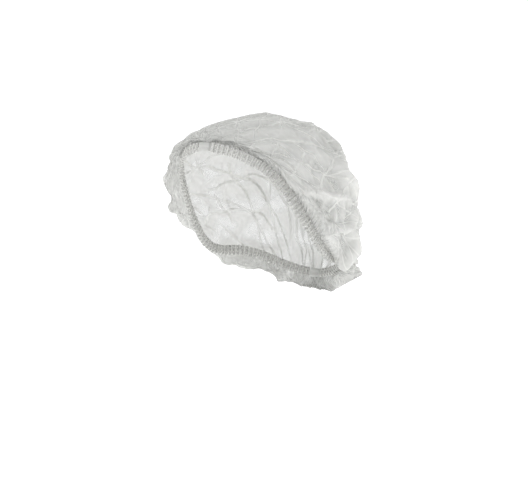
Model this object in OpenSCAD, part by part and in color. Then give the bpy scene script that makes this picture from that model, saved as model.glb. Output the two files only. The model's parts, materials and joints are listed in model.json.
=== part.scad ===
// Pleated mob cap: one accordion-pleated sheet gathered into two elastic edge
// bands that meet at a pinched tab at the brow and another at the nape.
// Millimetres, +Z up as worn, the wearer faces -Y. The origin is the middle of
// the head opening, half way between the free edges of the two tabs.

/* [Head opening] */
// Width of the opening from side to side, worn
opening_w = 160; // [130:1:200]
// Length of the opening from the brow tab to the nape tab, seen from above
opening_l = 192; // [155:1:235]
// Height of the brow tab above the nape tab
opening_rise = 145; // [110:1:175]
// How far the sides dip below a straight line from brow to nape
ear_dip = 36; // [20:1:48]

/* [Bag] */
// Width of the puffed bag over both sides
bag_w = 224; // [186:1:270]
// Reach of the bag in front of the origin
bag_front = 98; // [90:1:120]
// Reach of the bag behind the origin
bag_back = 115; // [98:1:140]
// Height of the top of the bag above the origin
bag_top = 112; // [96:1:136]
// Distance of the highest point behind the origin
top_back = 12; // [0:1:25]
// Height of the widest line above the free edge, beside the brow
puff_lift = 6; // [3:0.5:10]
// Depth of the widest line below the origin, at the back
puff_back = 4; // [0:1:12]
// How far the bag hangs from its seam at the nape
droop_back = 50; // [36:1:60]
// How far the bag hangs from its seam over the ears
droop_side = 34; // [24:1:42]
// Depth of the soft waist that crosses the back of the bag
waist_d = 6; // [0:0.5:9]

/* [Pleated sheet] */
// Modelled thickness of the sheet and its crumpled fibres
sheet_t = 0.5; // [0.3:0.05:0.8]
// Number of accordion pleats across the cap
pleats = 18; // [12:1:20]
// Height of a pleat ridge at the middle of the cap
pleat_h = 2.2; // [0.8:0.1:3]
// Height of the gathers along the seam
gather_h = 1.2; // [0.6:0.1:1.8]
// Gap between the gathered sheet edge and the band above it
seam_gap = 0.8; // [0.5:0.1:1.5]

/* [Edge bands] */
// Width of the folded band, seam to free edge
band_w = 9.5; // [8:0.1:12]
// Thickness of each wall of the folded band
band_wall = 0.4; // [0.3:0.05:0.6]
// Height of the gather ribs on each face of the band
rib_h = 0.5; // [0.3:0.05:0.8]
// Depth of the scallops along the free edge
scallop_d = 0.7; // [0.4:0.1:1.2]
// Number of gather ribs along one band
ribs = 44; // [34:1:52]

/* [Elastics] */
// Diameter of one elastic cord
elastic_d = 1.2; // [0.9:0.1:1.6]
// Room round a cord inside the folded band
elastic_gap = 0.15; // [0.1:0.05:0.3]
// Distance between the two cords of a band
elastic_pitch = 4.2; // [3.6:0.1:5]

/* [Sewing] */
// Diameter of the sewing thread
thread_d = 0.4; // [0.3:0.05:0.5]
// Length of thread showing at each stitch
stitch_l = 3; // [2.2:0.1:3.6]
// Gap between a stitch and the rib under it
stitch_gap = 0.05; // [0.03:0.01:0.1]

/* [End tabs] */
// Width of a pinched tab between the two bands
tab_w = 15; // [12:0.5:18]
// Gap between a tab and each band end
tab_gap = 0.6; // [0.5:0.05:1]
// Number of pressed folds in a tab
tab_folds = 7; // [5:1:9]
// Depth of a pressed fold
fold_d = 0.8; // [0.5:0.1:1.2]

/* [Hidden] */
half_w = opening_w / 2;
half_l = opening_l / 2;
half_rise = opening_rise / 2;
// power that keeps the dip over the ears and off the brow and nape
dip_power = 8;
// forward lean of the band face at the brow
band_lean = 0.35;
// step in degrees used to find directions along the opening
turn_step = 0.02;
// step used to find directions across the bag
bag_step = 0.002;
// the seam line of the bag, measured from the free edge
seam_up = band_w + seam_gap + gather_h * 0.25;
seam_out = 1;
// extra height of the widest line right over the brow tab, and its spread
brow_lift = band_w - 3;
brow_power = 6;
// share of the way from seam to top at which the bag is widest
wide_at = 0.38;
// outward reach of the bag just above its seam at the brow and the nape
reach_front = 8;
reach_back = 2;
// how upright the bag stays under its widest line at the brow, ears and nape
upright_front = 5;
upright_side = 52;
upright_back = 88;
// opening angles between which the bag begins to hang over the band
hang_from = 72;
hang_full = 118;
// how gently the widest line levels out behind the ears
puff_soft = 16;
// power that narrows the bag at the brow and nape, 1 is an ellipse
plan_power = 1.2;
// roundness of the bag over the brow, ears and nape, 2 is an ellipse
round_front = 1.6;
round_side = 1.85;
round_back = 2.15;
// height and spread of the soft waist
waist_z = 13;
waist_spread = 11;
// sheet grid: two columns make one pleat, rows run from tab to tab
columns = pleats * 2;
rows = 60;
// band sweep: two stations make one rib
stations = ribs * 2;
channel_t = elastic_d + 2 * elastic_gap;
valley_t = channel_t + 2 * band_wall;
rib_t = valley_t + 2 * rib_h;
corner = 0.6;
// room the bag leaves for band, stitches and gathers where it hangs over them
fold_over = rib_t / 2 + stitch_gap + thread_d + gather_h / 2 + sheet_t;
// opening angle covered by half a tab and its gap
tab_angle = asin((tab_w / 2 + tab_gap) / half_w);
cord_trim = 0.4;
cord_sides = 6;
thread_fn = 16;
fine = 300;
white = [0.95, 0.95, 0.94];
milk = [0.9, 0.91, 0.9];
cream = [0.93, 0.9, 0.82];
thread_white = [0.98, 0.98, 0.98];

// ---- the head opening ----

// point of the free edge at an angle, 0 at the brow, 90 at the left ear
function rim(a) = [half_w * sin(a), -half_l * cos(a),
    half_rise * cos(a) - ear_dip * pow(abs(sin(a)), dip_power)];

function unit(v) = v / norm(v);

// direction along the free edge
function along(a) = unit(rim(a + turn_step) - rim(a - turn_step));

// direction out of the face of the band
function out_raw(a) = unit([sin(a) / half_w, -cos(a) / half_l,
    band_lean * cos(a) / half_l]);
function outward(a) = let (o = out_raw(a), t = along(a)) unit(o - (o * t) * t);

// direction from the free edge to the seam
function upward(a) = cross(outward(a), along(a));

// lengths along half of the free edge, from brow to nape
edge_table = [for (i = 0, s = 0; i <= fine;
    s = s + norm(rim((i + 1) * 180 / fine) - rim(i * 180 / fine)), i = i + 1)
    [s, i * 180 / fine]];
back_table = [for (e = edge_table) [e[1], e[0]]];
edge_start = lookup(tab_angle, back_table);
edge_end = lookup(180 - tab_angle, back_table);

// opening angle at a share of the way along a band
function station_angle(f) = lookup(edge_start + f * (edge_end - edge_start), edge_table);

// a point of the band at an opening angle, up from the free edge and out
function band_point(a, w, n) = rim(a) + upward(a) * w + outward(a) * n;

// ---- the bag ----

// a value that changes from brow to ear to nape
function blend(front, ear, back, a) = front * pow(max(cos(a), 0), 2)
    + ear * pow(sin(a), 2) + back * pow(max(-cos(a), 0), 2);

// share of the full hang of the bag at an opening angle
function hang(a) = let (
        b = acos(cos(a)),
        k = min(max((b - hang_from) / (hang_full - hang_from), 0), 1))
    k * k * (3 - 2 * k);

// how far round an angle is towards the nape
function nape_share(a) = pow(max(-cos(a), 0), 2);

function seam_point(a) = rim(a) + upward(a) * seam_up
    + outward(a) * (seam_out + hang(a) * fold_over);

// height of the widest line: it follows the opening down, then levels out
function wide_z(a) = let (
        s = rim(a)[2] + puff_lift + brow_lift * pow(max(cos(a), 0), brow_power),
        b = -puff_back)
    (s + b + sqrt(pow(s - b, 2) + pow(puff_soft, 2))) / 2;

function wide_point(a) = [bag_w / 2 * sign(sin(a)) * pow(abs(sin(a)), plan_power),
    -(cos(a) > 0 ? bag_front : bag_back) * cos(a), wide_z(a)];

// lower part of the bag: a curve that leaves the seam, hangs and turns up
function lower(a, k) = let (
        g = hang(a),
        n = nape_share(a),
        reach = reach_front + (reach_back - reach_front) * g * n,
        droop = g * (droop_side + (droop_back - droop_side) * n),
        upright = upright_side + (upright_back - upright_side) * n,
        b0 = seam_point(a),
        b1 = b0 + [sin(a) * reach, -cos(a) * reach, -droop],
        b3 = wide_point(a),
        b2 = b3 - [0, 0, upright_front + g * (upright - upright_front)])
    pow(1 - k, 3) * b0 + 3 * pow(1 - k, 2) * k * b1 + 3 * (1 - k) * k * k * b2
        + k * k * k * b3;

// upper part of the bag: a rounded dome from the widest line to the top
function upper(a, k) = let (
        e = wide_point(a),
        power = 2 / blend(round_front, round_side, round_back, a),
        c = pow(abs(cos(90 * k)), power),
        s = pow(abs(sin(90 * k)), power))
    [e[0] * c, top_back + (e[1] - top_back) * c, e[2] + (bag_top - e[2]) * s];

// smooth bag over a round map: x to the left ear, y to the nape, 1 at the seam
function smooth_bag(x, y) = let (r = norm([x, y]), a = atan2(x, -y), t = 1 - r)
    t < wide_at ? lower(a, t / wide_at) : upper(a, (t - wide_at) / (1 - wide_at));

function bag_out(x, y) = let (
        dx = smooth_bag(x + bag_step, y) - smooth_bag(x - bag_step, y),
        dy = smooth_bag(x, y + bag_step) - smooth_bag(x, y - bag_step))
    unit(cross(dx, dy));

// soft waist across the back, deepest behind the ears
function waist(p, y) = -waist_d * max(y, 0) * exp(-pow((p[2] - waist_z) / waist_spread, 2));

// one point of the pleated sheet: column c across, row r from brow to nape
function sheet_point(c, r, depth) = let (
        u = 2 * c / columns - 1,
        v = tab_angle + (180 - 2 * tab_angle) * r / rows,
        x = u * sin(v),
        y = -cos(v),
        p = smooth_bag(x, y),
        fan = sin(v),
        inner = 1 - pow(abs(u), 6),
        pleat = pleat_h * fan * inner * (c % 2 == 0 ? 0.5 : -0.5),
        edge = pow(abs(u), 8),
        gather = gather_h * edge * fan * (r % 2 == 0 ? 0.5 : -0.5))
    p + bag_out(x, y) * (pleat + gather + waist(p, y) - depth);

// ---- shapes ----

function grid_index(c, r) = c * (rows + 1) + r;

// closed shell between the outer and the inner face of the pleated sheet
module pleated_sheet() {
    outer = [for (c = [0:columns]) for (r = [0:rows]) sheet_point(c, r, 0)];
    inner = [for (c = [0:columns]) for (r = [0:rows]) sheet_point(c, r, sheet_t)];
    lift = len(outer);
    outer_faces = [for (c = [0:columns - 1]) for (r = [0:rows - 1]) for (h = [0, 1])
        h == 0 ? [grid_index(c, r), grid_index(c, r + 1), grid_index(c + 1, r + 1)]
            : [grid_index(c, r), grid_index(c + 1, r + 1), grid_index(c + 1, r)]];
    inner_faces = [for (f = outer_faces) [f[2] + lift, f[1] + lift, f[0] + lift]];
    loop = concat(
        [for (r = [0:rows - 1]) grid_index(0, r)],
        [for (c = [0:columns - 1]) grid_index(c, rows)],
        [for (r = [rows:-1:1]) grid_index(columns, r)],
        [for (c = [columns:-1:1]) grid_index(c, 0)]);
    n = len(loop);
    edge_faces = [for (i = [0:n - 1]) for (h = [0, 1])
        h == 0 ? [loop[i], loop[i] + lift, loop[(i + 1) % n]]
            : [loop[(i + 1) % n], loop[i] + lift, loop[(i + 1) % n] + lift]];
    polyhedron(points = concat(outer, inner),
        faces = concat(outer_faces, inner_faces, edge_faces), convexity = 10);
}

// outline of the folded band at a rib (even) or a valley (odd): up, out
function band_outline(i) = let (
        h = (i % 2 == 0 ? rib_t : valley_t) / 2,
        low = i % 2 == 0 ? -scallop_d / 2 : scallop_d / 2)
    [[low, -h + corner], [low + corner, -h], [band_w - corner, -h], [band_w, -h + corner],
     [band_w, h - corner], [band_w - corner, h], [low + corner, h], [low, h - corner]];

// outline of the hollow inside the folded band
channel = [[scallop_d / 2 + band_wall, -channel_t / 2], [band_w - band_wall, -channel_t / 2],
    [band_w - band_wall, channel_t / 2], [scallop_d / 2 + band_wall, channel_t / 2]];

// folded band swept along the left side, hollow and open at both ends
module folded_band() {
    no = 8;
    ni = 4;
    ring = no + ni;
    points = [for (i = [0:stations]) let (a = station_angle(i / stations))
        for (q = concat(band_outline(i), channel)) band_point(a, q[0], q[1])];
    skin = [for (i = [0:stations - 1]) for (k = [0:no - 1]) let (
            p = i * ring + k,
            q = i * ring + (k + 1) % no)
        for (h = [0, 1]) h == 0 ? [p, q + ring, q] : [p, p + ring, q + ring]];
    bore = [for (i = [0:stations - 1]) for (k = [0:ni - 1]) let (
            p = i * ring + no + k,
            q = i * ring + no + (k + 1) % ni)
        for (h = [0, 1]) h == 0 ? [p, q, q + ring] : [p, q + ring, p + ring]];
    mouth = [for (k = [0:ni - 1]) let (
            p = no + k,
            q = no + (k + 1) % ni,
            s = 2 * k,
            e = 2 * k + 1,
            f = (2 * k + 2) % no)
        for (t = [[s, e, p], [e, q, p], [e, f, q]]) t];
    last = stations * ring;
    tail = [for (t = mouth) [t[2] + last, t[1] + last, t[0] + last]];
    polyhedron(points = points, faces = concat(skin, bore, mouth, tail), convexity = 10);
}

// height of the inner (-1) or outer (1) cord or stitch row above the free edge
function row_up(row) = (band_w + scallop_d / 2) / 2 - row * elastic_pitch / 2;

// one elastic cord lying in the channel of the left band
module elastic(row) {
    trim = cord_trim / (edge_end - edge_start);
    n = cord_sides;
    points = [for (i = [0:stations]) let (
            f = min(max(i / stations, trim), 1 - trim),
            a = station_angle(f))
        for (k = [0:n - 1]) let (g = k * 360 / n)
            band_point(a, row_up(row) + elastic_d / 2 * sin(g), elastic_d / 2 * cos(g))];
    skin = [for (i = [0:stations - 1]) for (k = [0:n - 1]) let (
            p = i * n + k,
            q = i * n + (k + 1) % n)
        for (h = [0, 1]) h == 0 ? [p, q, q + n] : [p, q + n, p + n]];
    first = [[for (k = [n - 1:-1:0]) k]];
    last = [[for (k = [0:n - 1]) stations * n + k]];
    polyhedron(points = points, faces = concat(skin, first, last), convexity = 10);
}

// place things on the band: x out of its face, y along it, z up to the seam
module on_band(a, w, n) {
    p = band_point(a, w, n);
    o = outward(a);
    t = along(a);
    u = upward(a);
    multmatrix([
        [o[0], t[0], u[0], p[0]],
        [o[1], t[1], u[1], p[1]],
        [o[2], t[2], u[2], p[2]],
        [0, 0, 0, 1]])
        children();
}

// one row of stitches, one over each rib, on the outer or the inner face
module stitch_row(row, face) {
    lie = face * (rib_t / 2 + thread_d / 2 + stitch_gap);
    for (i = [1:ribs - 1])
        on_band(station_angle(2 * i / stations), row_up(row), lie)
            rotate([90, 0, 0])
            cylinder(h = stitch_l, d = thread_d, center = true, $fn = thread_fn);
}

// pinched tab: the sheet ends folded up tight and pressed between the bands
module end_tab(a) {
    step = tab_w / tab_folds;
    half = valley_t / 2;
    front = [for (i = [0:tab_folds - 1]) for (h = [0, 1])
        [half + fold_d * h, -tab_w / 2 + (i + h / 2) * step]];
    back = [for (i = [tab_folds - 1:-1:0]) for (h = [1, 0])
        [-half + fold_d * h, -tab_w / 2 + (i + h / 2) * step]];
    on_band(a, 0, 0)
        linear_extrude(height = band_w)
        polygon(concat(front, [[half, tab_w / 2], [-half, tab_w / 2]], back));
}

module right_side() {
    mirror([1, 0, 0])
        children();
}

module crown() {
    color(white) pleated_sheet();
}

module left_band() {
    color(milk) folded_band();
}

module right_band() {
    color(milk) right_side() folded_band();
}

module left_outer_elastic() {
    color(cream) elastic(1);
}

module left_inner_elastic() {
    color(cream) elastic(-1);
}

module right_outer_elastic() {
    color(cream) right_side() elastic(1);
}

module right_inner_elastic() {
    color(cream) right_side() elastic(-1);
}

module left_outer_needle_thread() {
    color(thread_white) stitch_row(1, 1);
}

module left_inner_needle_thread() {
    color(thread_white) stitch_row(-1, 1);
}

module right_outer_needle_thread() {
    color(thread_white) right_side() stitch_row(1, 1);
}

module right_inner_needle_thread() {
    color(thread_white) right_side() stitch_row(-1, 1);
}

module left_outer_looper_thread() {
    color(thread_white) stitch_row(1, -1);
}

module left_inner_looper_thread() {
    color(thread_white) stitch_row(-1, -1);
}

module right_outer_looper_thread() {
    color(thread_white) right_side() stitch_row(1, -1);
}

module right_inner_looper_thread() {
    color(thread_white) right_side() stitch_row(-1, -1);
}

module brow_tab() {
    color(milk) end_tab(0);
}

module nape_tab() {
    color(milk) end_tab(180);
}

crown();
left_band();
right_band();
left_outer_elastic();
left_inner_elastic();
right_outer_elastic();
right_inner_elastic();
left_outer_needle_thread();
left_inner_needle_thread();
right_outer_needle_thread();
right_inner_needle_thread();
left_outer_looper_thread();
left_inner_looper_thread();
right_outer_looper_thread();
right_inner_looper_thread();
brow_tab();
nape_tab();
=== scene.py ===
"""A pleated non-woven mob cap as worn: crown sheet, edge bands, elastics, sewing and end tabs."""

import json
import logging
import math
from dataclasses import dataclass
from enum import Enum
from typing import Any, Callable, Iterable, Optional, Sequence, Union

import bpy
import numpy as np
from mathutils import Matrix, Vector

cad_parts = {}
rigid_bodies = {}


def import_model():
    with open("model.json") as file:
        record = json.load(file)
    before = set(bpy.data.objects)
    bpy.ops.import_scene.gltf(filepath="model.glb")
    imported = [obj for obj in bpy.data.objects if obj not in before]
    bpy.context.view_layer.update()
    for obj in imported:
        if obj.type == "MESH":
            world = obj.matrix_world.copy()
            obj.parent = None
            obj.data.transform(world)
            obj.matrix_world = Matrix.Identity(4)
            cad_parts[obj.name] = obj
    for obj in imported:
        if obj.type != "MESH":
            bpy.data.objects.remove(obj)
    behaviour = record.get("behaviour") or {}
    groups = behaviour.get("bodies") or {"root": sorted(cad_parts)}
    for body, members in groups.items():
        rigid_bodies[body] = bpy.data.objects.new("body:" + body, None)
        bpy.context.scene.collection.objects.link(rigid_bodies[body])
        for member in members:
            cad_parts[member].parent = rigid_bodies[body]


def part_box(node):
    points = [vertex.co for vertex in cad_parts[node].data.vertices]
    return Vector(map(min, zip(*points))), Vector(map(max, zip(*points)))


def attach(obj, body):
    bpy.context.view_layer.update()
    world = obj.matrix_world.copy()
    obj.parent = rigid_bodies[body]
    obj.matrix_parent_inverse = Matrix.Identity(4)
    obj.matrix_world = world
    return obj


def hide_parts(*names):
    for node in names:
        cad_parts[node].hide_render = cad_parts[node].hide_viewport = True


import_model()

log = logging.getLogger("mob_cap")
BODY = "root"
CORD_RADIUS = 0.0006
TURN = 2 * math.pi
CLOTH = {
    "quality": 5, "mass": 0.05, "air_damping": 1.0, "bending_model": "ANGULAR",
    "tension_stiffness": 12, "compression_stiffness": 12, "shear_stiffness": 6,
    "bending_stiffness": 0.35, "tension_damping": 6, "compression_damping": 6,
    "shear_damping": 4, "pin_stiffness": 1.0,
}
Array = np.ndarray
Piece = bpy.types.Object
Finish = bpy.types.Material
Pair = tuple[float, float]
Triple = tuple[float, float, float]


class Sign(Enum):
    """A choice of two, each the sign of a step."""

    @property
    def word(self) -> str:
        """Return the word used in piece names."""
        return self.name.lower()


class Side(Sign):
    """Which half of the cap a piece belongs to, as the sign of its X."""

    LEFT = 1
    RIGHT = -1


class Row(Sign):
    """Which of a band's two elastics, as the sign of its step towards the free edge."""

    OUTER = 1
    INNER = -1


class Face(Sign):
    """Which face of a band, as the sign of its outward step."""

    NEEDLE = 1
    LOOPER = -1


# --- small helpers


def unit(v: Array) -> Array:
    """Return vectors, held in the last axis, scaled to length one."""
    return v / np.maximum(np.linalg.norm(v, axis=-1, keepdims=True), 1e-12)


def smooth_step(x: Array, low: float, high: float) -> Array:
    """Return a soft step, 0 up to low and 1 from high."""
    k = np.clip((x - low) / (high - low), 0.0, 1.0)
    return k * k * (3 - 2 * k)


def bell(x: Array, width: float) -> Array:
    """Return a bell curve, 1 at 0."""
    return np.exp(-((x / width) ** 2))


class Waves:
    """Smooth seeded noise, a sum of plane waves."""

    def __init__(self, seed: int, pitch: float, count: int = 24) -> None:
        """Draw the waves.

        Args:
            seed: Seed of the random numbers.
            pitch: Usual distance between crests, in metres.
            count: Number of waves.
        """
        rng = np.random.default_rng(seed)
        way = unit(rng.normal(size=(count, 3)))
        self.waves = way * (TURN / pitch) * rng.uniform(0.6, 1.5, (count, 1))
        self.phase = rng.uniform(0, TURN, count)
        self.gain = math.sqrt(2.0 / count)

    def at(self, p: Array) -> Array:
        """Return the noise at points, about -1 to 1."""
        return np.sin(p @ self.waves.T + self.phase).sum(-1) * self.gain

    def creased(self, p: Array) -> Array:
        """Return noise folded into sharp ridges, from -1 to 0.5."""
        return 0.5 - np.minimum(np.abs(self.at(p)), 1.5)


def linked(name: str, data: Any) -> Piece:
    """Return a new object of some data, linked to the scene."""
    obj = bpy.data.objects.new(name, data)
    bpy.context.scene.collection.objects.link(obj)
    return obj


def shade_smooth(mesh: bpy.types.Mesh) -> None:
    """Shade every face of a mesh smooth."""
    mesh.polygons.foreach_set("use_smooth", [True] * len(mesh.polygons))


def points_of(mesh: bpy.types.Mesh) -> Array:
    """Return a mesh's vertex positions, one to a row."""
    co = np.zeros(len(mesh.vertices) * 3)
    mesh.vertices.foreach_get("co", co)
    return co.reshape(-1, 3)


def mesh_object(name: str, points: Array, faces: Iterable[Sequence[int]]) -> Piece:
    """Make a smooth-shaded mesh object at the origin.

    Args:
        name: Name of the object.
        points: Vertex positions, in metres.
        faces: Vertex indices of each face.

    Returns:
        The new object, linked to the scene.
    """
    mesh = bpy.data.meshes.new(name)
    mesh.from_pydata(points.reshape(-1, 3).tolist(), [], [list(f) for f in faces])
    mesh.validate()
    shade_smooth(mesh)
    mesh.update()
    return linked(name, mesh)


def add_uv(obj: Piece, across: Array, along: Array) -> None:
    """Store each vertex's place on the flat sheet as the UV map.

    Args:
        obj: The mesh object.
        across: Distances across the sheet, in metres.
        along: Distances along the sheet, in metres, of a shape that fits the first.
    """
    uv = np.stack(np.broadcast_arrays(across, along), -1).reshape(-1, 2)
    mesh = obj.data
    index = np.zeros(len(mesh.loops), dtype=np.int64)
    mesh.loops.foreach_get("vertex_index", index)
    layer = mesh.uv_layers.new(name="flat")
    layer.uv.foreach_set("vector", uv[index].astype(np.float32).ravel())


def grid_quads(rows: int, columns: int) -> list[tuple[int, int, int, int]]:
    """Return the quads of a grid of points, each from a point along its row and back."""
    firsts = (i * columns + k for i in range(rows - 1) for k in range(columns - 1))
    return [(a, a + 1, a + columns + 1, a + columns) for a in firsts]


def sweep(sections: Array, closed_ends: bool = True) -> tuple[Array, list[list[int]]]:
    """Join rings of points into a closed skin.

    Args:
        sections: Rings, shaped (stations, ring, 3).
        closed_ends: Whether each end gets a cap face.

    Returns:
        The points and the faces.
    """
    n, m = sections.shape[:2]
    sides = [(i * m + k, i * m + (k + 1) % m) for i in range(n - 1) for k in range(m)]
    faces = [[a, b, b + m, a + m] for a, b in sides]
    if closed_ends:
        faces += [list(range(m - 1, -1, -1)), list(range((n - 1) * m, n * m))]
    return sections.reshape(-1, 3), faces


def face_outwards(obj: Piece) -> None:
    """Turn the faces of a closed mesh outwards when its volume comes out negative.

    Args:
        obj: The mesh object.
    """
    mesh = obj.data
    mesh.calc_loop_triangles()
    tri = np.zeros(len(mesh.loop_triangles) * 3, dtype=np.int64)
    mesh.loop_triangles.foreach_get("vertices", tri)
    p = points_of(mesh)[tri.reshape(-1, 3)]
    if np.einsum("ij,ij->i", p[:, 0], np.cross(p[:, 1], p[:, 2])).sum() < 0:
        mesh.flip_normals()


def add_wall(obj: Piece, thickness: float) -> None:
    """Give a sheet its thickness, half of it to each side."""
    wall = obj.modifiers.new("wall", "SOLIDIFY")
    wall.thickness, wall.offset, wall.use_even_offset = thickness, 0.0, False


def hand_over(obj: Piece, node: str) -> None:
    """Put a finished piece in the place of its CAD node and report it.

    Args:
        obj: The piece.
        node: The node that it stands for.
    """
    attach(obj, BODY)
    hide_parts(node)
    log.info("%s: %d points", obj.name, len(obj.data.vertices))


# --- shader maths

Number = Union[float, "Value"]


class NodeSheet:
    """A node tree, filled through one method."""

    def __init__(self, tree: bpy.types.NodeTree) -> None:
        """Hold the tree."""
        self.tree = tree

    def add(
        self, kind: str, values: Optional[dict[Any, Any]] = None, **settings: Any
    ) -> bpy.types.Node:
        """Add a node, set it up and fill its sockets.

        Args:
            kind: Node type.
            values: Socket name or number to a plain value, a wrapped value or a socket.
            **settings: Properties of the node, set first.

        Returns:
            The node.
        """
        node = self.tree.nodes.new(kind)
        for key, value in settings.items():
            setattr(node, key, value)
        for key, value in (values or {}).items():
            value = value.socket if isinstance(value, Value) else value
            if isinstance(value, bpy.types.NodeSocket):
                self.tree.links.new(value, node.inputs[key])
            else:
                node.inputs[key].default_value = value
        return node


def math_step(operation: str, swapped: bool = False) -> Callable[..., "Value"]:
    """Return a method of Value that adds one Math node.

    Args:
        operation: What the node does.
        swapped: Whether its two terms change places.

    Returns:
        The method.
    """

    def step(self: "Value", *others: Number) -> "Value":
        """Return the result of the node."""
        terms = (*others, self) if swapped else (self, *others)
        node = self.sheet.add("ShaderNodeMath", dict(enumerate(terms)), operation=operation)
        return Value(self.sheet, node.outputs[0])

    return step


class Value:
    """A number socket that can be used in ordinary arithmetic."""

    def __init__(self, sheet: NodeSheet, socket: Any) -> None:
        """Wrap an output socket of a node sheet."""
        self.sheet = sheet
        self.socket = socket

    __add__ = __radd__ = math_step("ADD")
    __sub__ = math_step("SUBTRACT")
    __rsub__ = math_step("SUBTRACT", swapped=True)
    __mul__ = __rmul__ = math_step("MULTIPLY")
    __truediv__ = math_step("DIVIDE")
    __abs__ = math_step("ABSOLUTE")
    fraction = math_step("FRACT")
    floor = math_step("FLOOR")
    maximum = math_step("MAXIMUM")
    minimum = math_step("MINIMUM")

    def clamped(self) -> "Value":
        """Return the value held between 0 and 1."""
        return self.maximum(0.0).minimum(1.0)

    def between(self, low: float, high: float, start: float = 0.0, end: float = 1.0) -> "Value":
        """Return the value mapped smoothly from one range to another.

        Args:
            low: Value that gives start.
            high: Value that gives end.
            start: Result at low.
            end: Result at high.

        Returns:
            The mapped value, held inside the new range.
        """
        values = {0: self, 1: low, 2: high, 3: start, 4: end}
        node = self.sheet.add("ShaderNodeMapRange", values, interpolation_type="SMOOTHSTEP")
        return Value(self.sheet, node.outputs[0])


class Nodes(NodeSheet):
    """A material's node sheet."""

    def __init__(self, name: str) -> None:
        """Start an empty material of a name."""
        self.material = bpy.data.materials.new(name)
        self.material.use_nodes = True
        super().__init__(self.material.node_tree)
        self.tree.nodes.clear()

    def flat(self, across: float = 1.0, along: float = 1.0) -> Any:
        """Return the place on the flat sheet.

        Args:
            across: Factor on the first direction.
            along: Factor on the second direction.

        Returns:
            A vector socket.
        """
        uv = self.add("ShaderNodeUVMap", uv_map="flat").outputs[0]
        values = {0: uv, 1: (across, along, 1.0)}
        return self.add("ShaderNodeVectorMath", values, operation="MULTIPLY").outputs[0]

    def inside(self) -> Any:
        """Return the place in the object's own space."""
        return self.add("ShaderNodeTexCoord").outputs["Object"]

    def split(self, vector: Any) -> tuple[Value, Value]:
        """Return the first two parts of a vector socket."""
        node = self.add("ShaderNodeSeparateXYZ", {0: vector})
        return Value(self, node.outputs[0]), Value(self, node.outputs[1])

    def stored(self, name: str) -> Value:
        """Return a number stored at each vertex."""
        return Value(self, self.add("ShaderNodeAttribute", attribute_name=name).outputs["Fac"])

    def noise(self, vector: Any, scale: float, detail: float = 3.0, rough: float = 0.55) -> Value:
        """Return noise, about 0 to 1 round a half.

        Args:
            vector: Where to read it.
            scale: Cells per metre.
            detail: Number of finer layers.
            rough: Strength of the finer layers.

        Returns:
            The noise value.
        """
        values = {"Vector": vector, "Scale": scale, "Detail": detail, "Roughness": rough}
        return Value(self, self.add("ShaderNodeTexNoise", values, noise_dimensions="3D").outputs[0])

    def cell_edges(self, vector: Any, scale: float) -> Value:
        """Return the distance to the nearest cell edge, in cells.

        Args:
            vector: Where to read it.
            scale: Cells per metre.

        Returns:
            The distance value.
        """
        values = {"Vector": vector, "Scale": scale, "Randomness": 1.0}
        settings = {"feature": "DISTANCE_TO_EDGE", "voronoi_dimensions": "3D"}
        return Value(self, self.add("ShaderNodeTexVoronoi", values, **settings).outputs[0])

    def bump(self, height: Value, depth: float, strength: float, normal: Any = None) -> Any:
        """Return a bumped normal.

        Args:
            height: Height value, 0 to 1.
            depth: Real height of 1, in metres.
            strength: Strength from 0 to 1.
            normal: A normal to add to.

        Returns:
            A normal socket.
        """
        values: dict[Any, Any] = {"Height": height, "Distance": depth, "Strength": strength}
        if normal is not None:
            values["Normal"] = normal
        return self.add("ShaderNodeBump", values).outputs[0]

    def colour(self, factor: Value, low: Triple, high: Triple) -> Any:
        """Return a colour between two colours.

        Args:
            factor: 0 gives low, 1 gives high.
            low: First colour.
            high: Second colour.

        Returns:
            A colour socket.
        """
        values = {0: factor, 6: (*low, 1.0), 7: (*high, 1.0)}
        return self.add("ShaderNodeMix", values, data_type="RGBA", blend_type="MIX").outputs[2]

    def surface(self, values: dict[Any, Any]) -> Any:
        """Return a Principled shader with sockets filled."""
        return self.add("ShaderNodeBsdfPrincipled", values).outputs[0]

    def mixed(self, factor: Number, first: Any, second: Any) -> Any:
        """Return a shader between two shaders."""
        return self.add("ShaderNodeMixShader", {0: factor, 1: first, 2: second}).outputs[0]

    def finish(self, shader: Any) -> Finish:
        """Send a shader to the surface and return the material."""
        self.add("ShaderNodeOutputMaterial", {0: shader})
        return self.material


# --- finishes


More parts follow.
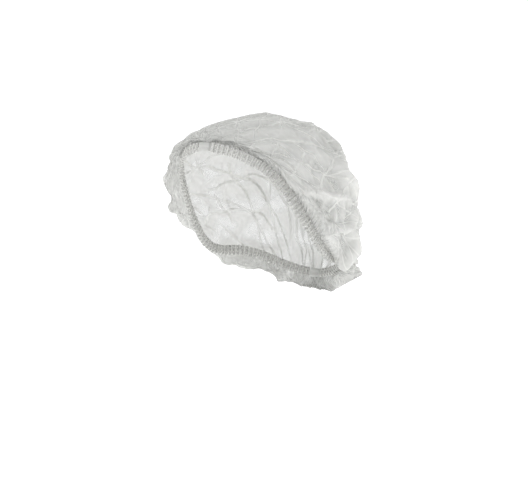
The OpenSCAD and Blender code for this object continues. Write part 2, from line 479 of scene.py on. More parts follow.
@dataclass(frozen=True)
class SpunbondFinish:
    """Thin see-through bonded fibre sheet with fold lines, clouds and bond dots.

    Scales are in cells per metre. Covers are shares of the light that the sheet stops, and
    tones go from the dark colour at 0 to the light one at 1. A net line is its slope, its
    pitch and the scale of the patches where it shows.
    """

    name: str
    light: Triple = (0.96, 0.96, 0.94)
    dark: Triple = (0.44, 0.45, 0.43)
    behind: Triple = (0.70, 0.70, 0.68)
    glow: float = 0.34
    roughness: float = 0.6
    specular: float = 0.4
    cover: float = 0.42
    cloud_cover: float = 0.08
    fibre_cover: float = 0.04
    dot_cover: float = 0.03
    soft_cover: float = 0.05
    crease_cover: float = 0.45
    relief_cover: float = 0.35
    cloud_tone: float = 0.12
    soft_tone: float = 0.12
    # Painted highlight on fold lines and rib crests.
    crease_tone: float = 0.9
    # Painted light: the slack sides of the sheet are made lighter than the top of the head.
    slack_tone: float = 0.44
    # Lighter near the crown's seam: partly the denser gathered cloth, partly painted light against
    # the shade under the overhang above the band.
    seam_tone: float = 0.55
    # Even lift of the whole crown sheet's tone.
    worn_tone: float = 0.15
    # Strength of the stored relief: painted shade in the folds and painted highlight on the ridges,
    # with denser cover on the ridges.
    relief: float = 0.8
    flat_width: float = 0.36
    crease_width: float = 0.0015
    pleat_pitch: float = 0.0200
    pleat_stray: float = 0.6
    net: tuple[Triple, ...] = ((0.62, 0.023, 31.0), (-0.55, 0.027, 37.0))
    net_stray: float = 0.95
    rib_pitch: float = 0.0
    gather_pitch: float = 0.0
    gather_reach: float = 0.021
    gather_stray: float = 0.5
    stray_scale: float = 24.0
    pleat_show_scale: float = 19.0
    gather_stray_scale: float = 40.0
    cloud_scale: float = 150.0
    fibre_scale: float = 2400.0
    soft_scale: float = 52.0
    wrinkle_scale: float = 45.0
    facet_scale: float = 46.0
    dot_pitch: Pair = (0.0016, 0.0012)
    dot_oval: float = 1.8
    least_slack: float = 0.25

    def _line(self, across: Value, pitch: float, wander: Value, show: Value) -> Value:
        """Return thin wandering fold lines.

        Args:
            across: Distance across the lines, in metres.
            pitch: Distance between lines, in metres.
            wander: How far the lines stray, as a share of the pitch.
            show: 0 where a line is hidden, 1 where it shows.

        Returns:
            1 on a line and 0 away from it.
        """
        fold = abs((across / pitch + wander).fraction() - 0.5) * pitch
        return fold.between(self.crease_width, 0.0) * show

    def _creases(self, n: Nodes, side: Value, x: Value, y: Value) -> Value:
        """Return the pleat lines and the slanting net.

        Args:
            n: The node sheet.
            side: Share of the way from the middle line to the sheet's side.
            x: Distance across the flat sheet.
            y: Distance along it.

        Returns:
            1 on a line and 0 away from it.
        """
        flat = n.flat()
        stray = n.noise(flat, self.stray_scale, 1.0) - 0.5
        show = n.noise(flat, self.pleat_show_scale, 1.0).between(0.30, 0.46)
        crease = self._line(x, self.pleat_pitch, stray * self.pleat_stray, show)
        for slope, pitch, scale in self.net:
            show = n.noise(flat, scale, 1.0).between(0.38, 0.50)
            line = self._line(x + y * slope, pitch, stray * self.net_stray, show)
            crease = crease.maximum(line)
        return crease * side.between(0.75, 0.40, 0.35, 1.0)

    def _ribs(self, n: Nodes, y: Value, near: Optional[Value]) -> Optional[Value]:
        """Return the gather ribs of a band or of the crown's edge.

        Args:
            n: The node sheet.
            y: Distance along the flat sheet.
            near: 1 at the crown's seam and 0 away from it, on the crown only.

        Returns:
            1 on a rib and 0 between two, or nothing where the sheet has none.
        """
        if near is not None:
            stray = n.noise(n.flat(), self.gather_stray_scale, 2.0) - 0.5
            place = y / self.gather_pitch + stray * self.gather_stray
            return (1.0 - abs(place.fraction() - 0.5) * 2.0) * near
        if self.rib_pitch > 0:
            return 1.0 - abs((y / self.rib_pitch).fraction() - 0.5) * 2.0
        return None

    def _dots(self, x: Value, y: Value) -> Value:
        """Return the oval bond dots, in staggered rows: 1 in a dot and 0 away from it."""
        wide, high = self.dot_pitch
        dx = (x / wide + (y / high).floor() * 0.5).fraction() - 0.5
        dy = (y / high).fraction() - 0.5
        return (dx * dx * self.dot_oval + dy * dy).between(0.07, 0.02)

    def build(self) -> Finish:
        """Build the material and return it."""
        n = Nodes(self.name)
        flat = n.flat()
        x, y = n.split(flat)
        side = abs(x) / (self.flat_width / 2)
        near: Optional[Value] = None
        if self.gather_pitch > 0:
            near = n.stored("seam").between(self.gather_reach, 0.002)
        crease, ribs, dots = self._creases(n, side, x, y), self._ribs(n, y, near), self._dots(x, y)
        # Rib crests join the fold lines, which get the extra cover and the painted highlight.
        if ribs is not None:
            crease = crease.maximum(ribs.between(0.40, 0.85))
        clouds = n.noise(flat, self.cloud_scale, 5.0, 0.65)
        fibres = n.noise(n.flat(1.0, 0.25), self.fibre_scale, 3.0, 0.7)
        soft = n.noise(n.flat(1.0, 0.55), self.soft_scale, 4.0, 0.6).between(0.35, 0.68)
        # Besides the wrinkles, slack sets painted light: the sheet is made lighter towards its
        # slack sides than on top of the head.
        slack = side.between(0.15, 0.60, self.least_slack, 1.0)
        cover = self.cover + (clouds - 0.5) * self.cloud_cover + (fibres - 0.5) * self.fibre_cover
        cover = cover - dots * self.dot_cover + soft * self.soft_cover + crease * self.crease_cover
        tone = clouds.between(0.3, 0.7) * self.cloud_tone + soft * self.soft_tone
        # Painted highlight: fold lines and rib crests are made lighter than the sheet around them.
        tone = tone + crease * self.crease_tone + (slack - self.least_slack) * self.slack_tone
        if near is not None:
            # Painted shade and highlight: the settled sheet's folds are darkened and its ridges
            # lightened from its stored relief, less so near the seam.
            ridge = n.stored("relief") - 0.5
            cover = cover + ridge * self.relief * self.relief_cover
            # Near the seam the sheet is lightened: partly the denser gathered cloth, partly painted
            # light against the shade under the overhang.
            tone = tone + ridge * self.relief * (1.0 - near) + near * self.seam_tone
            # Even lift of the whole crown sheet's tone.
            tone = tone + self.worn_tone
        wrinkles = n.noise(flat, self.wrinkle_scale, 2.0, 0.5) * slack
        facets = n.cell_edges(n.flat(1.0, 0.7), self.facet_scale).between(0.0, 0.35) * slack
        normal: Any = None
        for height, depth, strength in (
            (wrinkles, 0.0024, 0.6),
            (facets, 0.0012, 0.4),
            (crease, 0.0007, 0.9),
            (ribs, 0.0009, 0.8),
            (dots, 0.00006, 0.4),
        ):
            if height is not None:
                normal = n.bump(height, depth, strength, normal)
        body = n.surface(
            {
                "Base Color": n.colour(tone.clamped(), self.dark, self.light),
                "Roughness": self.roughness,
                "Specular IOR Level": self.specular,
                "Normal": normal,
            }
        )
        values = {"Color": (*self.behind, 1.0), "Normal": normal}
        through = n.add("ShaderNodeBsdfTranslucent", values).outputs[0]
        gap = n.add("ShaderNodeBsdfTransparent").outputs[0]
        return n.finish(n.mixed(cover.clamped(), gap, n.mixed(self.glow, body, through)))


@dataclass(frozen=True)
class StrandFinish:
    """Twisted thread or covered elastic cord."""

    name: str
    light: Triple
    dark: Triple
    twist: float = 1400.0
    roughness: float = 0.6
    ply_share: float = 0.7
    fuzz_share: float = 0.3
    fuzz_scale: float = 3000.0
    ply_depth: float = 0.00012

    def build(self) -> Finish:
        """Build the material and return it."""
        n = Nodes(self.name)
        place = n.inside()
        values = {"Vector": place, "Scale": self.twist, "Distortion": 1.5, "Detail": 2.0}
        settings = {"wave_type": "BANDS", "bands_direction": "DIAGONAL"}
        ply = Value(n, n.add("ShaderNodeTexWave", values, **settings).outputs[1])
        fuzz = n.noise(place, self.fuzz_scale, 3.0)
        tone = (ply * self.ply_share + fuzz * self.fuzz_share).clamped()
        body = n.surface(
            {
                "Base Color": n.colour(tone, self.dark, self.light),
                "Roughness": self.roughness,
                "Normal": n.bump(tone, self.ply_depth, 0.6),
            }
        )
        return n.finish(body)


@dataclass(frozen=True)
class StudioFinish:
    """Plain pale studio paper."""

    name: str
    tone: float = 0.93
    glow: float = 0.42
    grain: float = 0.995
    grain_scale: float = 40.0

    def build(self) -> Finish:
        """Build the material and return it."""
        n = Nodes(self.name)
        grain = n.noise(n.inside(), self.grain_scale, 3.0)
        high = (self.tone,) * 3
        low = (self.tone * self.grain,) * 3
        body = n.surface(
            {
                "Base Color": n.colour(grain, low, high),
                "Roughness": 0.9,
                "Emission Color": (1.0, 1.0, 1.0, 1.0),
                "Emission Strength": self.glow,
            }
        )
        return n.finish(body)


# --- the opening


@dataclass(frozen=True)
class Opening:
    """The free edge of the head opening, by angle: 0 brow, a quarter turn ear, half nape."""

    half_width: float
    half_length: float
    rise: float
    ear_dip: float = 0.036
    dip_power: float = 8.0
    lean: float = 0.35
    band_width: float = 0.0095
    small_turn: float = 3e-4
    samples: int = 2000

    @classmethod
    def from_frame(cls) -> "Opening":
        """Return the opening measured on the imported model."""
        tab_stand = 0.0004
        brow_low, brow_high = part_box("brow_tab")
        nape_low, nape_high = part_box("nape_tab")
        brow, nape = (brow_low + brow_high) / 2, (nape_low + nape_high) / 2
        return cls(
            half_width=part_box("left_outer_elastic")[1].x - CORD_RADIUS,
            half_length=(nape.y - brow.y) / 2 - tab_stand,
            rise=brow.z - nape.z,
        )

    def rim(self, a: Array) -> Array:
        """Return points of the free edge.

        Args:
            a: Angles in radians.

        Returns:
            Points in metres.
        """
        s, c = np.sin(a), np.cos(a)
        z = self.rise / 2 * c - self.ear_dip * np.abs(s) ** self.dip_power
        return np.stack([self.half_width * s, -self.half_length * c, z], -1)

    def along(self, a: Array) -> Array:
        """Return directions along the free edge at angles."""
        return unit(self.rim(a + self.small_turn) - self.rim(a - self.small_turn))

    def outward(self, a: Array) -> Array:
        """Return directions out of the band face.

        Args:
            a: Angles in radians.

        Returns:
            Directions of length one, square to the free edge.
        """
        x, y = np.sin(a) / self.half_width, -np.cos(a) / self.half_length
        raw, t = unit(np.stack([x, y, self.lean * np.cos(a) / self.half_length], -1)), self.along(a)
        return unit(raw - (raw * t).sum(-1, keepdims=True) * t)

    def upward(self, a: Array) -> Array:
        """Return directions from the free edge to the seam at angles."""
        return np.cross(self.outward(a), self.along(a))

    def point(self, a: Array, up: Array, out: Array) -> Array:
        """Return points of the band at angles, up from the free edge and out of the face."""
        up, out = np.asarray(up)[..., None], np.asarray(out)[..., None]
        return self.rim(a) + self.upward(a) * up + self.outward(a) * out

    def spread(self, share: Array, start: float) -> Array:
        """Return angles evenly spaced along the edge.

        Args:
            share: Shares of the way, 0 to 1.
            start: Angle of share 0; share 1 is its mirror at the nape.

        Returns:
            Angles in radians.
        """
        a = np.linspace(start, math.pi - start, self.samples)
        steps = np.linalg.norm(np.diff(self.rim(a), axis=0), axis=1)
        s = np.concatenate([[0.0], np.cumsum(steps)])
        return np.interp(share, s / s[-1], a)


# --- the bag


@dataclass(frozen=True)
class Puff:
    """A soft bulge or hollow of the bag."""

    centre: Triple
    radius: float
    height: float


@dataclass(frozen=True)
class BagForm:
    """The smooth shape of the bag over a round map: x to the left ear, y to the nape."""

    opening: Opening
    half_width: float
    top: float
    front: float = 0.095
    back: float = 0.115
    top_back: float = 0.012
    puff_lift: float = 0.006
    brow_lift: float = 0.0065
    brow_power: int = 6
    front_lift: float = 0.0045
    front_span: Pair = (0.05, 0.75)
    puff_back: float = 0.004
    puff_soft: float = 0.016
    plan_power: float = 1.2
    droop_side: float = 0.034
    droop_back: float = 0.050
    reach_front: float = 0.003
    reach_back: float = 0.002
    upright: Triple = (0.005, 0.052, 0.088)
    rounds: Triple = (1.52, 1.66, 2.3)
    hang_angles: Pair = (72.0, 118.0)
    wide_at: float = 0.38
    past_seam: float = -0.2
    seam_up: float = 0.0100
    seam_out: float = 0.0006
    fold_over: float = 0.0032
    seam_rise: float = 0.006
    small_step: float = 0.004

    def hang(self, a: Array) -> Array:
        """Return the share of the full hang at angles."""
        return smooth_step(np.degrees(np.arccos(np.clip(np.cos(a), -1, 1))), *self.hang_angles)

    def _roundness(self, a: Array) -> Array:
        """Return the power of the upper curve at angles, from brow to ear to nape."""
        c = np.cos(a)
        brow, ear, nape = self.rounds
        return brow * np.maximum(c, 0) ** 2 + ear * np.sin(a) ** 2 + nape * np.maximum(-c, 0) ** 2

    def _widest(self, a: Array) -> Array:
        """Return points of the bag's widest line.

        Args:
            a: Angles in radians.

        Returns:
            Points in metres.
        """
        c, s = np.cos(a), np.sin(a)
        lift = self.opening.rim(a)[..., 2] + self.puff_lift
        lift = lift + self.brow_lift * np.maximum(c, 0) ** self.brow_power
        lift = lift + self.front_lift * smooth_step(c, *self.front_span)
        level = -self.puff_back
        z = 0.5 * (lift + level + np.sqrt((lift - level) ** 2 + self.puff_soft**2))
        x = self.half_width * np.sign(s) * np.abs(s) ** self.plan_power
        return np.stack([x, -np.where(c > 0, self.front, self.back) * c, z], -1)

    def surface(self, x: Array, y: Array) -> Array:
        """Return points of the smooth bag.

        Args:
            x: Map position to the left, -1 to 1.
            y: Map position to the back, -1 to 1.

        Returns:
            Points in metres.
        """
        a = np.arctan2(x, -y)
        t, c, s = 1 - np.hypot(x, y), np.cos(a), np.sin(a)
        hang, nape = self.hang(a), np.maximum(-c, 0) ** 2
        out = self.seam_out + hang * self.fold_over
        seam = self.opening.point(a, np.full_like(a, self.seam_up), out)
        wide = self._widest(a)
        reach = self.reach_front + (self.reach_back - self.reach_front) * hang * nape
        droop = hang * (self.droop_side + (self.droop_back - self.droop_side) * nape)
        low_pull = np.stack([s * reach, -c * reach, self.seam_rise * (1 - hang) - droop], -1)
        low, side, back = self.upright
        stand = low + hang * (side + (back - side) * nape - low)
        b1, b2 = seam + low_pull, wide - np.stack([0 * a, 0 * a, stand], -1)
        k = np.clip(t / self.wide_at, self.past_seam, 1)[..., None]
        lower = (1 - k) ** 3 * seam + 3 * (1 - k) ** 2 * k * b1
        lower = lower + 3 * (1 - k) * k * k * b2 + k**3 * wide
        turn = np.clip((t - self.wide_at) / (1 - self.wide_at), 0, 1) * math.pi / 2
        power = 2 / self._roundness(a)
        cu, su = np.cos(turn) ** power, np.sin(turn) ** power
        top_y = self.top_back + (wide[..., 1] - self.top_back) * cu
        top_z = wide[..., 2] + (self.top - wide[..., 2]) * su
        upper = np.stack([wide[..., 0] * cu, top_y, top_z], -1)
        return np.where((t < self.wide_at)[..., None], lower, upper)

    def normal(self, x: Array, y: Array) -> Array:
        """Return outward directions of the smooth bag.

        Args:
            x: Map position to the left, -1 to 1.
            y: Map position to the back, -1 to 1.

        Returns:
            Directions of length one.
        """
        h = self.small_step
        dx = self.surface(x + h, y) - self.surface(x - h, y)
        dy = self.surface(x, y + h) - self.surface(x, y - h)
        return unit(np.cross(dx, dy))


@dataclass
class Crown:
    """The pleated sheet: a grid of columns across and rows from brow tab to nape tab.

    A fold is the step of its seed, its pitch and its share of the fold height.
    """

    opening: Opening
    form: BagForm
    finish: SpunbondFinish
    puffs: tuple[Puff, ...]
    name: str = "crown_sheet"
    columns: int = 128
    gathers: int = 60
    rows_per_gather: int = 4
    tab_angle: float = math.asin(7.9 / 80)
    flat_size: Pair = (0.36, 0.44)
    sheet_thickness: float = 0.00022
    pleats: int = 18
    pleat_height: float = 0.0016
    pleat_fan: float = 0.7
    gather_height: float = 0.0017
    gather_reach: float = 0.009
    gather_fan: float = 0.3
    gather_stray: float = 0.8
    stray_pitch: float = 0.03
    waist_depth: float = 0.013
    waist_z: float = 0.012
    waist_spread: float = 0.015
    lump_height: float = 0.0030
    lump_pitch: float = 0.055
    fold_height: float = 0.0060
    folds: tuple[tuple[int, float, float], ...] = ((3, 0.062, 1.0), (4, 0.030, 0.45))
    seam_free: Pair = (0.001, 0.014)
    relief_reach: int = 4
    relief_height: float = 0.0015
    gravity: float = 0.35
    growth: Pair = (0.015, 0.26)
    hold: float = 0.14
    seam_hold: float = 0.35
    levels: int = 60
    frames: int = 32
    most_moved: float = 0.0115
    front_calm: float = 0.42
    least_slack: float = 0.08
    seed: int = 7

    @property
    def rows(self) -> int:
        """Return the number of grid rows."""
        return self.gathers * self.rows_per_gather

    def _grid(self) -> tuple[Array, Array]:
        """Return the grid's column shares, -1 to 1, and row angles."""
        u = np.linspace(-1, 1, self.columns + 1)[:, None]
        v = self.opening.spread(np.linspace(0, 1, self.rows + 1), self.tab_angle)[None, :]
        return np.broadcast_arrays(u, v)

    def _seam_distance(self, p: Array, u: Array) -> Array:
        """Return each point's distance from its own end of its row, in metres."""
        ends = p[[0, -1]][np.where(u < 0, 0, 1), np.arange(u.shape[1])[None, :]]
        return np.linalg.norm(p - ends, axis=-1)

    def _slack(self, p: Array, u: Array) -> Array:
        """Return how slack the sheet is.

        Args:
            p: Points of the grid.
            u: Column shares.

        Returns:
            Values from nearly 0 on top of the head to 1 in the puffs.
        """
        side = smooth_step(np.abs(u), 0.12, 0.62)
        back = smooth_step(p[..., 1], -0.01, 0.085)
        calm = self.front_calm + (1 - self.front_calm) * smooth_step(p[..., 1], -0.075, 0.005)
        return np.clip(np.maximum(side * calm, back), self.least_slack, 1)

    def _shape(self, u: Array, v: Array) -> Array:
        """Return the grid's points before the cloth settles.

        Args:
            u: Column shares.
            v: Row angles.

        Returns:
            Points in metres.
        """
        x, y = u * np.sin(v), -np.cos(v)
        p, n = self.form.surface(x, y), self.form.normal(x, y)
        seam = self._seam_distance(p, u)
        i = np.arange(self.rows + 1)[None, :]
        jitter = Waves(self.seed + 1, self.stray_pitch).at(p)
        phase = TURN * i / self.rows_per_gather + self.gather_stray * jitter
        near = np.exp(-seam / self.gather_reach)
        gather = self.gather_height * near * np.sin(phase) * np.clip(seam / 0.004 + 0.35, 0, 1)
        gather = gather * np.sin(v) ** self.gather_fan
        j = np.arange(self.columns + 1)[:, None]
        ridge = np.abs(((j * self.pleats / self.columns) % 1.0) - 0.5) * 2 - 0.5
        pleat = self.pleat_height * ridge * np.sin(v) ** self.pleat_fan * (1 - near)
        level = bell(p[..., 2] - self.waist_z, self.waist_spread)
        waist = -self.waist_depth * smooth_step(y, 0.0, 0.5) * level
        slack = self._slack(p, u)
        lumps = self.lump_height * slack * Waves(self.seed, self.lump_pitch).at(p)
        for step, pitch, share in self.folds:
            fold = Waves(self.seed + step, pitch).creased(p)
            lumps = lumps + share * self.fold_height * slack * fold
        out = gather + pleat + waist + lumps
        for puff in self.puffs:
            d = (p - np.array(puff.centre)) / puff.radius
            out = out + puff.height * np.exp(-(d**2).sum(-1))
        free = smooth_step(seam, *self.seam_free)
        return p + n * (gather + (out - gather) * free)[..., None]

    def _groups(self, obj: Piece, start: Array, u: Array, seam: Array) -> list[str]:
        """Store where the cloth is held and where it grows.

        Args:
            obj: The sheet.
            start: Its points.
            u: Column shares.
            seam: Each point's distance from the seam.

        Returns:
            The names of the two vertex groups.
        """
        edge = (np.abs(u) > 0.999) | (np.arange(self.rows + 1)[None, :] % self.rows == 0)
        hold = np.where(edge, 1.0, self.hold + self.seam_hold * np.exp(-seam / 0.006))
        grow = np.clip(0.85 * self._slack(start, u) + 0.15 * np.exp(-seam / 0.012), 0, 1)
        for name, values in (("hold", hold), ("grow", grow)):
            group = obj.vertex_groups.new(name=name)
            steps = np.round(values.ravel() * self.levels) / self.levels
            for level in np.unique(steps):
                group.add(np.nonzero(steps == level)[0].tolist(), float(level), "REPLACE")
        return [group.name for group in obj.vertex_groups]

    def _settle(self, obj: Piece, start: Array, u: Array, seam: Array) -> Array:
        """Run the cloth with its edge held and its slack grown in.

        Args:
            obj: The sheet, which is left without its cloth and groups.
            start: Its points.
            u: Column shares.
            seam: Each point's distance from the seam.

        Returns:
            The settled points, none of them moved further than the cap.
        """
        hold, grow = self._groups(obj, start, u, seam)
        mod = obj.modifiers.new("settle", "CLOTH")
        cloth = mod.settings
        for key, value in CLOTH.items():
            setattr(cloth, key, value)
        cloth.vertex_group_mass, cloth.vertex_group_shrink = hold, grow
        cloth.shrink_min, cloth.shrink_max = -self.growth[0], -self.growth[1]
        cloth.effector_weights.gravity = self.gravity
        mod.collision_settings.use_collision = False
        mod.point_cache.frame_start, mod.point_cache.frame_end = 1, self.frames
        scene = bpy.context.scene
        for f in range(1, self.frames + 1):
            scene.frame_set(f)
        done = obj.evaluated_get(bpy.context.evaluated_depsgraph_get()).data
        moved = points_of(done).reshape(start.shape) - start
        obj.modifiers.remove(mod)
        obj.vertex_groups.clear()
        scene.frame_set(1)
        far = np.linalg.norm(moved, axis=-1, keepdims=True)
        held = self.most_moved * np.tanh(far / self.most_moved)
        log.info("crown settled: moved %.1f mm at most", float(far.max()) * 1000)
        return start + moved * held / np.maximum(far, 1e-9)

    def _relief(self, p: Array) -> Array:
        """Return how far each point stands out of its surroundings.

        Args:
            p: Points of the grid.

        Returns:
            Values from 0 in a fold to 1 on a ridge.
        """
        reach = self.relief_reach
        count = 2 * reach + 1
        soft = p
        for axis in (0, 1):
            pad = [(reach, reach) if a == axis else (0, 0) for a in range(3)]
            wide, size = np.pad(soft, pad, mode="edge"), p.shape[axis]
            soft = sum(np.take(wide, range(i, i + size), axis) for i in range(count)) / count
        normal = unit(np.cross(np.gradient(p, axis=0), np.gradient(p, axis=1)))
        out = unit(p - p.reshape(-1, 3).mean(0))
        normal = normal * np.sign((normal * out).sum(-1, keepdims=True))
        height = ((p - soft) * normal).sum(-1) / self.relief_height
        height[[0, -1]] = 0
        height[:, [0, -1]] = 0
        return 0.5 + 0.5 * np.tanh(height)

    def build(self) -> Piece:
        """Build the crown and return it."""
        u, v = self._grid()
        points = self._shape(u, v)
        faces = [(a, d, c, b) for a, b, c, d in grid_quads(*u.shape)]
        obj = mesh_object(self.name, points, faces)
        seam = self._seam_distance(points, u)
        points = self._settle(obj, points, u, seam)
        obj.data.vertices.foreach_set("co", points.astype(np.float32).ravel())
        obj.data.update()
        # The stored relief sets the painted shade in the folds and the painted highlight on the
        # ridges in the crown's finish.
        for name, values in (("relief", self._relief(points)), ("seam", seam)):
            stored = obj.data.attributes.new(name, "FLOAT", "POINT")
            stored.data.foreach_set("value", values.astype(np.float32).ravel())
        width, length = self.flat_size
        add_uv(obj, u * 0.5 * width, np.linspace(0, 1, self.rows + 1)[None, :] * length)
        obj.data.materials.append(self.finish.build())
        add_wall(obj, self.sheet_thickness)
        hand_over(obj, "crown")
        return obj


# --- edge bands


@dataclass
class Band:
    """A folded strip gathered by two elastics, puffed between and beside their stitch rows.

    Section places are shares of the width from the free edge to the seam, and row heights
    are those of the inner and the outer elastic.
    """

    opening: Opening
    side: Side
    finish: SpunbondFinish
    ribs: int = 60
    steps: int = 8
    start_angle: float = math.asin(8.1 / 80)
    section: tuple[float, ...] = (
        0, 0.04, 0.12, 0.22, 0.30, 0.40, 0.50, 0.60, 0.70, 0.78, 0.88, 0.96, 1.0
    )
    past_seam: float = 0.0006
    row_up: Pair = (0.0070, 0.0028)
    core: float = 0.00075
    puff: float = 0.00135
    pinch_width: float = 0.0008
    pinch_depth: float = 0.8
    tip_radius: float = 0.0011
    least_half: float = 0.00018
    frill: float = 0.0007
    scallop: float = 0.0012
    rib_stray: float = 0.25
    rib_least: float = 0.72
    rib_extra: float = 0.5
    flat_size: Pair = (0.021, 0.36)
    sheet_thickness: float = 0.0002
    seed: int = 31

    def row_height(self, row: Row) -> float:
        """Return how far an elastic lies over the free edge."""
        return self.row_up[0 if row is Row.INNER else 1]

    def _ripple(self) -> tuple[Array, Array]:
        """Return the place of each station along the band and its gather height, 0 to 1."""
        rng = np.random.default_rng(self.seed + self.side.value)
        width = 1 + self.rib_stray * (rng.random(self.ribs) - 0.5)
        edges = np.concatenate([[0], np.cumsum(width)]) / width.sum()
        tall = self.rib_least + self.rib_extra * rng.random(self.ribs)
        k = np.arange(self.ribs * self.steps + 1)
        rib, part = np.minimum(k // self.steps, self.ribs - 1), (k % self.steps) / self.steps
        share = edges[rib] + part * (edges[rib + 1] - edges[rib])
        share[-1] = 1.0
        return share, np.sqrt(np.abs(np.sin(part * math.pi))) * tall[rib]

    def _half_thickness(self, up: Array, ripple: Array) -> Array:
        """Return half the band's thickness at a height over the free edge."""
        pinch = np.clip(sum(bell(up - row, self.pinch_width) for row in self.row_up), 0, 1)
        return self.core + self.puff * ripple * (1 - self.pinch_depth * pinch)

    def _strip(self, a: Array, ripple: Array, ups: Array) -> Array:
        """Return the strip's points: down the outer face, round the free edge and up the inner.

        Args:
            a: Angles of the stations.
            ripple: Gather height at each station, as a column.
            ups: Heights of the section over the free edge.

        Returns:
            Points in metres.
        """
        width = ups[-1]
        up = ups[None, :] + 0 * ripple
        up = up - self.scallop * (ripple - 0.4) * ((1 - ups / width) ** 3)[None, :]
        tip = np.clip(np.minimum(ups, width - ups) / self.tip_radius, 0.0, 1.0) ** 0.5
        half = self._half_thickness(up, ripple) * tip[None, :]
        half = np.maximum(half, self.least_half)
        stray = 1.2 * Waves(self.seed + 5, 0.03).at(self.opening.rim(a))
        wave = np.sin(TURN * (np.arange(len(a)) / self.steps) + stray)[:, None]
        inner_up, outer_up = self.row_up
        lean = self.frill * wave * (1 - np.clip(up / outer_up, 0, 1)) ** 1.2
        top = 0.5 * self.frill * wave * np.clip((up - inner_up) / 0.003, 0, 1)
        angle = a[:, None] + 0 * up
        outer = self.opening.point(angle, up, half + lean + top)
        inner = self.opening.point(angle, up, -half + lean + top)
        return np.concatenate([outer[:, ::-1], inner[:, 1:]], axis=1)

    def build(self) -> Piece:
        """Build the band and return it."""
        share, ripple = self._ripple()
        width = self.opening.band_width + self.past_seam
        ups = width * np.array(self.section)
        angles = self.opening.spread(share, self.start_angle)
        strip = self._strip(angles, ripple[:, None], ups)
        strip[..., 0] *= self.side.value
        quads = grid_quads(*strip.shape[:2])
        faces = [q[:: self.side.value] for q in quads]
        obj = mesh_object(f"{self.side.word}_band_fold", strip, faces)
        across = np.concatenate([width - ups[::-1], width + ups[1:]])
        add_uv(obj, across[None, :], share[:, None] * self.flat_size[1])
        obj.data.materials.append(self.finish.build())
        add_wall(obj, self.sheet_thickness)
        hand_over(obj, f"{self.side.word}_band")
        return obj


@dataclass
class Elastic:
    """A covered elastic cord inside a band, pulled slightly wavy by its gathers."""

    band: Band
    row: Row
    finish: Finish
    radius: float = CORD_RADIUS
    sides: int = 10
    end_gap: float = 0.004
    waviness: float = 0.00008
    stations_per_rib: int = 4

    def build(self) -> Piece:
        """Build the cord and return it."""
        opening, ribs = self.band.opening, self.band.ribs
        share = np.linspace(self.end_gap, 1 - self.end_gap, ribs * self.stations_per_rib + 1)
        a = opening.spread(share, self.band.start_angle)
        turn = np.linspace(0, TURN, self.sides, endpoint=False)[None, :]
        wave = self.waviness * np.sin(share * ribs * TURN)[:, None]
        up = self.band.row_height(self.row) + self.radius * np.sin(turn)
        rings = opening.point(a[:, None] + 0 * turn, up, self.radius * np.cos(turn) + wave)
        rings[..., 0] *= self.band.side.value
        node = f"{self.band.side.word}_{self.row.word}_elastic"
        obj = mesh_object(node + "_cord", *sweep(rings))
        face_outwards(obj)
        obj.data.materials.append(self.finish)
        hand_over(obj, node)
        return obj


class StitchTree(NodeSheet):
    """Geometry Nodes that lay rounded stitches along a curve."""

    def __init__(self) -> None:
        """Build the tree once."""
        super().__init__(bpy.data.node_groups.new("stitch_row", "GeometryNodeTree"))
        face = self.tree.interface
        face.new_socket("Path", in_out="INPUT", socket_type="NodeSocketGeometry")
        self.ids: dict[str, str] = {}
        kinds = {"Stitches": "Int", "Stitch Length": "Float", "Thread Width": "Float"}
        for name, kind in (*kinds.items(), ("Thread", "Material")):
            socket = face.new_socket(name, in_out="INPUT", socket_type="NodeSocket" + kind)
            self.ids[name] = socket.identifier
        face.new_socket("Stitches Made", in_out="OUTPUT", socket_type="NodeSocketGeometry")
        given = self.add("NodeGroupInput").outputs
        values: dict[Any, Any] = {"Curve": given["Path"], "Count": given["Stitches"]}
        points = self.add("GeometryNodeCurveToPoints", values, mode="COUNT").outputs
        values = {"Segments": 8, "Rings": 6, "Radius": 0.5}
        grain = self.add("GeometryNodeMeshUVSphere", values).outputs["Mesh"]
        values = {0: given["Thread Width"], 1: given["Thread Width"], 2: given["Stitch Length"]}
        size = self.add("ShaderNodeCombineXYZ", values).outputs[0]
        values = {"Geometry": grain, "Scale": size}
        shaped = self.add("GeometryNodeTransform", values).outputs[0]
        values = {0: (-0.06, -0.10, -0.10), 1: (0.06, 0.10, 0.10), "Seed": 11}
        wobble = self.add("FunctionNodeRandomValue", values, data_type="FLOAT_VECTOR").outputs[0]
        values = {"Rotation": points["Rotation"], "Rotate By": wobble}
        turned = self.add("FunctionNodeRotateRotation", values, rotation_space="LOCAL").outputs[0]
        values = {"Points": points["Points"], "Instance": shaped, "Rotation": turned}
        placed = self.add("GeometryNodeInstanceOnPoints", values).outputs[0]
        real = self.add("GeometryNodeRealizeInstances", {0: placed}).outputs[0]
        values = {"Geometry": real, "Material": given["Thread"]}
        dressed = self.add("GeometryNodeSetMaterial", values).outputs[0]
        self.add("NodeGroupOutput", {0: dressed})

    def lay(self, name: str, path: Array, inputs: dict[str, Any]) -> Piece:
        """Lay one row of stitches and return it as a plain mesh.

        Args:
            name: Name of the row.
            path: Points that the row follows.
            inputs: The tree's inputs by name.

        Returns:
            The mesh object.
        """
        curve = bpy.data.curves.new(name + "_path", "CURVE")
        curve.dimensions = "3D"
        spline = curve.splines.new("POLY")
        spline.points.add(len(path) - 1)
        spline.points.foreach_set("co", np.column_stack([path, np.ones(len(path))]).ravel())
        guide = linked(name + "_path", curve)
        mod = guide.modifiers.new("stitches", "NODES")
        mod.node_group = self.tree
        for key, value in inputs.items():
            mod[self.ids[key]] = value
        bpy.context.view_layer.update()
        graph = bpy.context.evaluated_depsgraph_get()
        mesh = bpy.data.meshes.new_from_object(guide.evaluated_get(graph), depsgraph=graph)
        mesh.name = name
        guide.modifiers.remove(mod)
        bpy.data.objects.remove(guide)
        shade_smooth(mesh)
        return linked(name, mesh)


